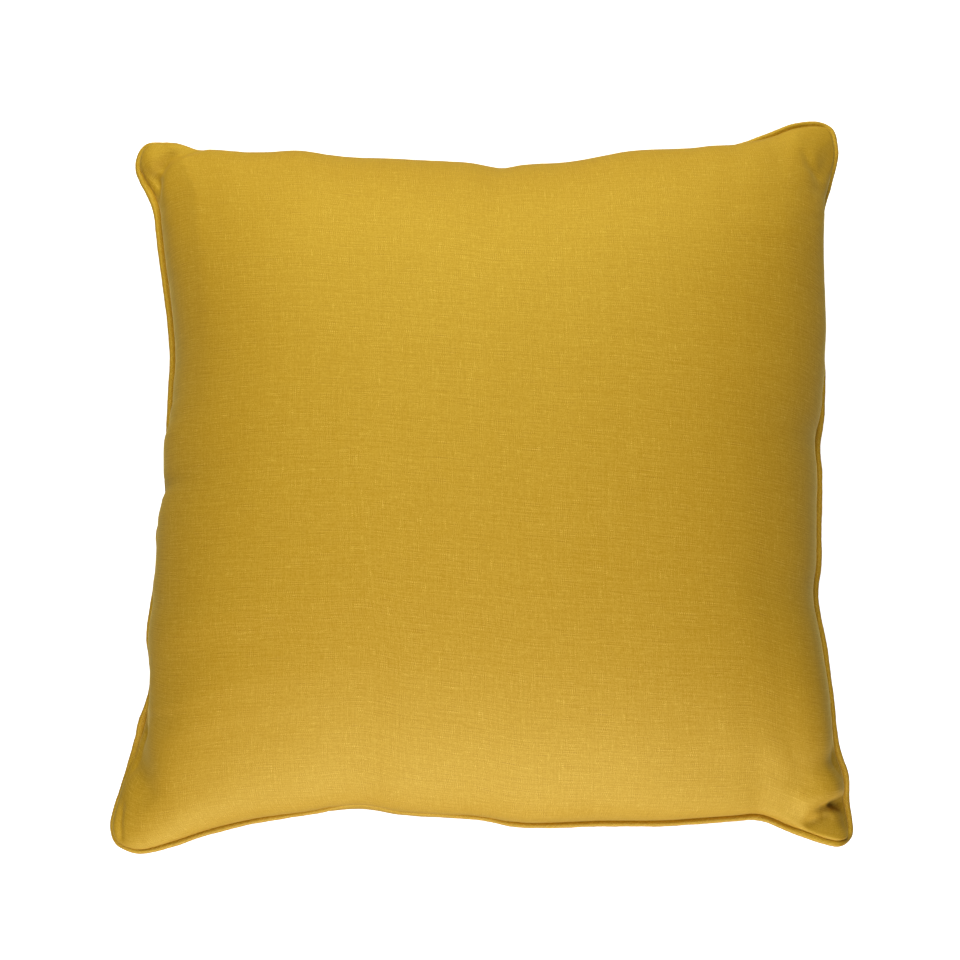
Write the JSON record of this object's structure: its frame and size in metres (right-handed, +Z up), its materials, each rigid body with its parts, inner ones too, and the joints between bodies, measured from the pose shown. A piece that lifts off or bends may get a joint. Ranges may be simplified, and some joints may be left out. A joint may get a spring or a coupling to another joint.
{
  "type": "piped linen cushion",
  "caption": "Square filled cushion with a crowned linen cover, drawn-in sides and piping in the seam, lying on its back.",
  "frame": {"origin": "on the surface under the cushion, at the middle of its bounding box", "axes": "+Z up through the face, +Y towards the top edge of the face, +X towards its right edge"},
  "size_m": [0.4898, 0.5018, 0.1719],
  "materials": {
    "cover_linen": "matte mustard-yellow plain-weave linen with fine slubs",
    "piping_linen": "matte mustard-yellow linen cut on the bias over a cord"
  },
  "bodies": {
    "root": {"cover": "cover_linen", "piping": "piping_linen"}
  },
  "joints": []
}
